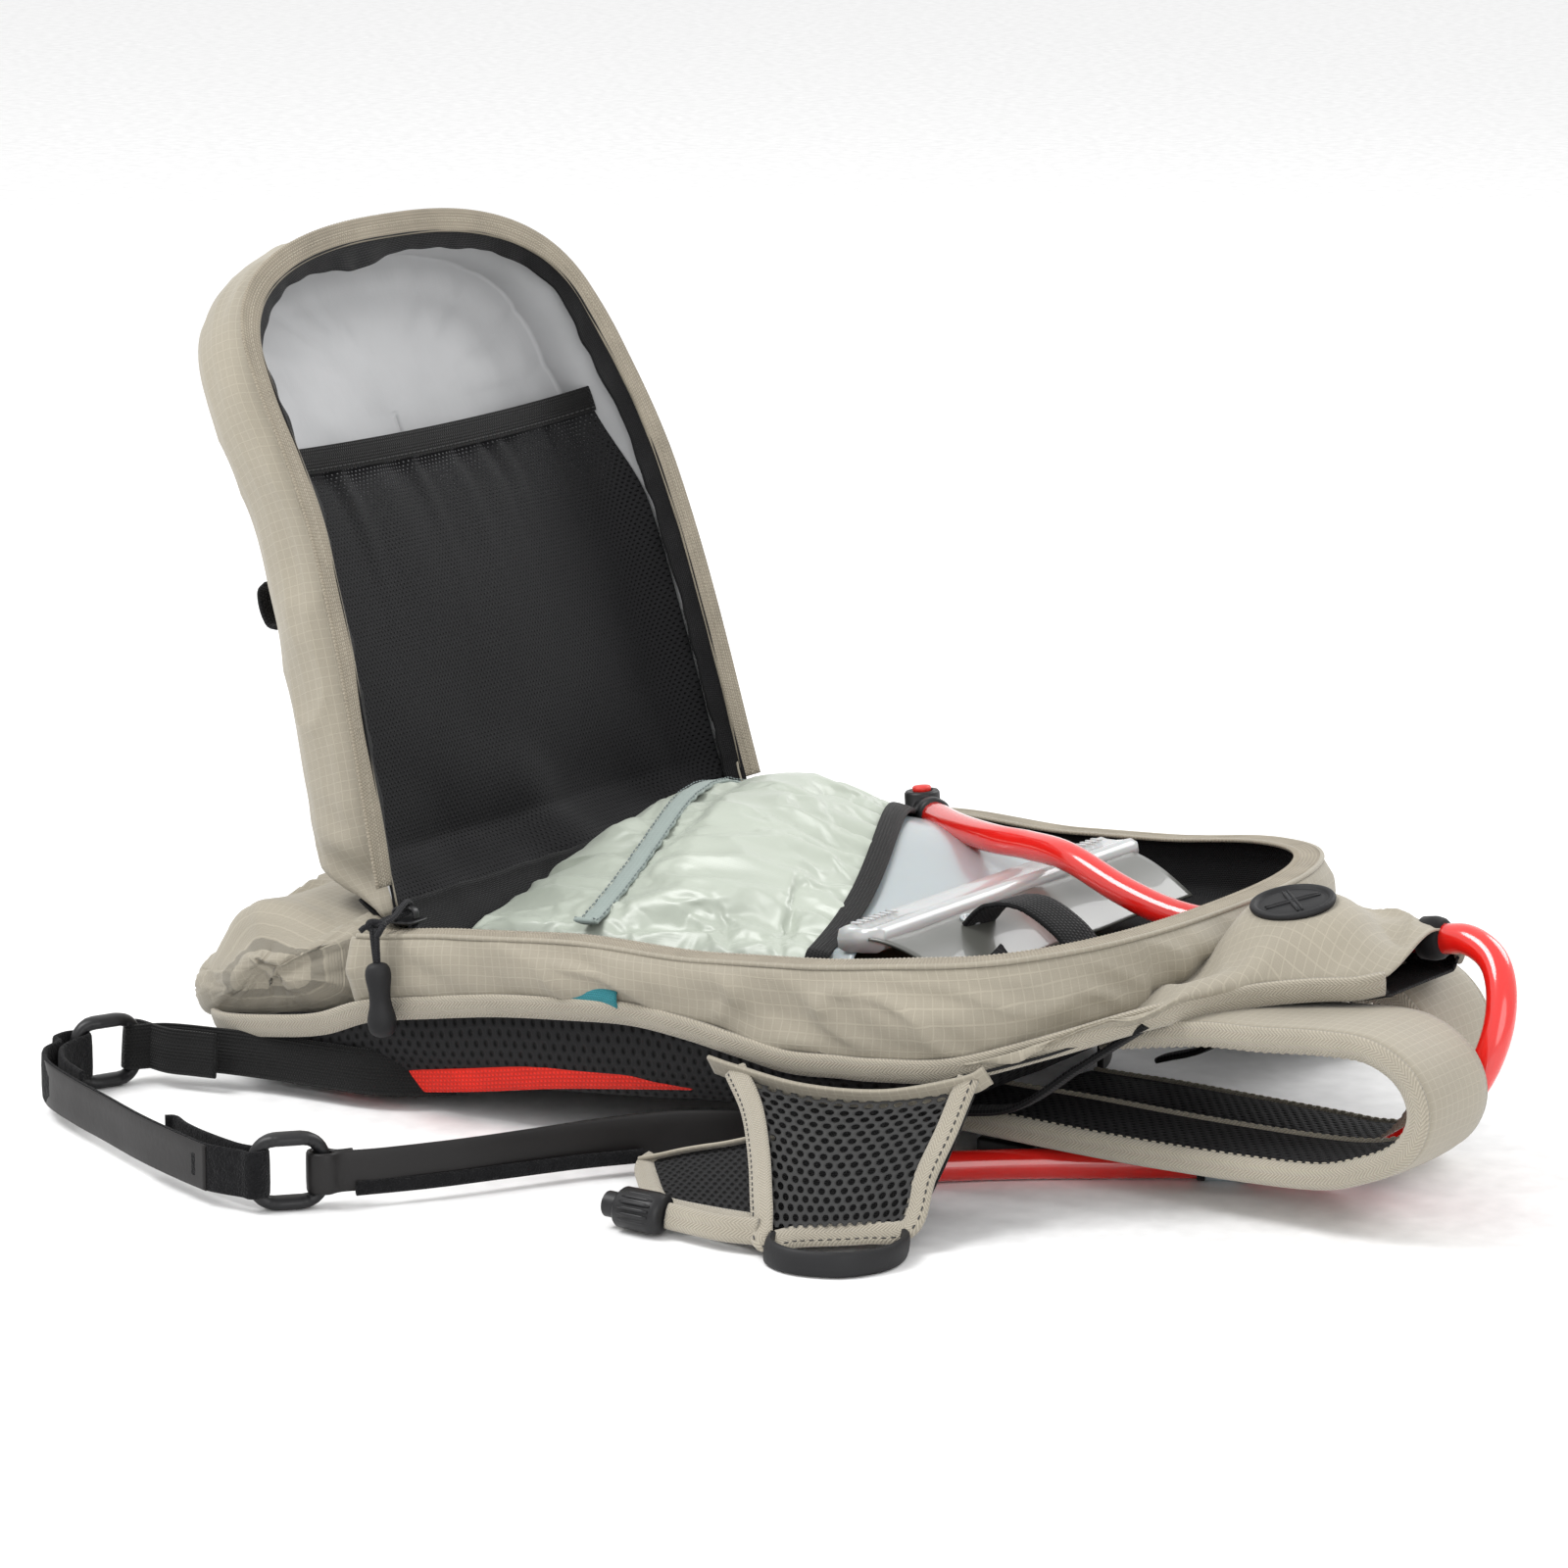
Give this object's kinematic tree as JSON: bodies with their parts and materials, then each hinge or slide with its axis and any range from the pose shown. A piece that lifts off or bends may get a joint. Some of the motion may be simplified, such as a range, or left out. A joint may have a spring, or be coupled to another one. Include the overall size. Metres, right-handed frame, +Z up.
{
  "type": "hydration pack",
  "caption": "Hydration pack lying on its harness with the front panel unzipped, showing the water reservoir, drink hose, mesh pocket and strap chain.",
  "frame": {"origin": "centre of the pack's outline on the floor that it lies on", "axes": "+X from the pack's bottom to its neck, +Y to the far side, +Z up"},
  "size_m": [0.4618, 0.4512, 0.2901],
  "materials": {
    "ripstop_tan": "matte ripstop nylon",
    "lining_black": "black facing",
    "mesh_black": "spacer and stretch mesh",
    "foam_grey": "closed foam",
    "webbing_red": "woven red webbing",
    "binding_tan": "herringbone tape",
    "webbing_black": "woven black webbing and elastic",
    "zip_tan": "zip tape and coil",
    "plastic_black": "moulded acetal",
    "rubber_black": "moulded rubber",
    "lining_grey": "smooth grey lining",
    "film_clear": "translucent film",
    "sleeve_sage": "shiny thin nylon",
    "hose_red": "translucent red tube",
    "silicone_red": "soft red silicone",
    "reflective_silver": "reflective sleeve",
    "tag_teal": "woven tag"
  },
  "bodies": {
    "pack": {"body_tub": "ripstop_tan", "tub_lining": "lining_black", "bottom_gusset": "ripstop_tan", "hinge_seam": "lining_black", "back_mesh": "mesh_black", "back_foam": "foam_grey", "lumbar_pad": "mesh_black", "back_webbing": "webbing_red", "edge_binding": "binding_tan", "side_tag": "tag_teal", "neck_yoke": "ripstop_tan", "hose_port": "rubber_black", "neck_binding": "binding_tan", "zip_body": "zip_tan", "reservoir": "film_clear", "reservoir_sleeve": "sleeve_sage", "sleeve_elastic": "webbing_black", "sleeve_channel": "sleeve_sage", "hanger_strap": "webbing_black", "reservoir_port": "plastic_black", "hose": "hose_red", "valve_body": "plastic_black", "bite_valve": "silicone_red", "hose_keeper": "reflective_silver", "shoulder_near": "mesh_black", "shoulder_far": "mesh_black", "lifter_near": "webbing_black", "lifter_far": "webbing_black", "buckle_female": "plastic_black", "elastic_near": "webbing_black", "elastic_far": "webbing_black", "ring1_near": "plastic_black", "ring1_far": "plastic_black", "ring2_near": "plastic_black", "ring2_far": "plastic_black", "hook_strap_near": "webbing_black", "hook_strap_far": "webbing_black", "chest_arm_near": "webbing_black", "chest_arm_far": "webbing_black", "wing_near": "mesh_black", "wing_far": "mesh_black", "wing_loop_near": "rubber_black", "wing_loop_far": "rubber_black", "lock_cord": "binding_tan", "cord_lock": "plastic_black"},
    "lid": {"lid_shell": "ripstop_tan", "lid_lining": "lining_grey", "lid_binding": "lining_black", "mesh_pocket": "mesh_black", "pocket_elastic": "webbing_black", "light_tab": "webbing_black", "zip_lid": "zip_tan"},
    "slider": {"zip_slider": "plastic_black"},
    "pull": {"pull_cord": "webbing_black", "pull_toggle": "rubber_black"},
    "seal": {"seal_slide": "film_clear"},
    "port_key": {"port_button": "silicone_red"},
    "valve_key": {"valve_lever": "silicone_red"},
    "buckle_plug": {"buckle_male": "plastic_black"},
    "lock_key": {"lock_button": "plastic_black"}
  },
  "joints": [
    {"name": "lid_hinge", "type": "hinge", "parent": "pack", "child": "lid", "pos_m": [-0.12507, 0, 0.059], "axis": [0, 1, 0], "range_deg": [-6, 104]},
    {"name": "zip_travel", "type": "slide", "parent": "pack", "child": "slider", "axis": [0.9942, 0.063, 0.087], "range_m": [0, 0.165]},
    {"name": "pull_swing", "type": "hinge", "parent": "slider", "child": "pull", "pos_m": [-0.11564, -0.10737, 0.06595], "axis": [-0.9942, -0.063, -0.087], "range_deg": [0, 95]},
    {"name": "seal_travel", "type": "slide", "parent": "pack", "child": "seal", "axis": [0, 1, 0], "range_m": [-0.007, 0.007]},
    {"name": "port_key_press", "type": "slide", "parent": "pack", "child": "port_key", "axis": [0.0872, 0, -0.9962], "range_m": [0, 0.0014], "stiffness_N_per_m": 300},
    {"name": "valve_turn", "type": "hinge", "parent": "pack", "child": "valve_key", "pos_m": [0.04531, -0.10754, 0.0142], "axis": [0, 0, 1], "range_deg": [0, 90]},
    {"name": "buckle_release", "type": "slide", "parent": "pack", "child": "buckle_plug", "axis": [0, 1, 0], "range_m": [0, 0.012]},
    {"name": "lock_press", "type": "slide", "parent": "pack", "child": "lock_key", "axis": [1, 0, 0], "range_m": [0, 0.004], "stiffness_N_per_m": 300}
  ]
}
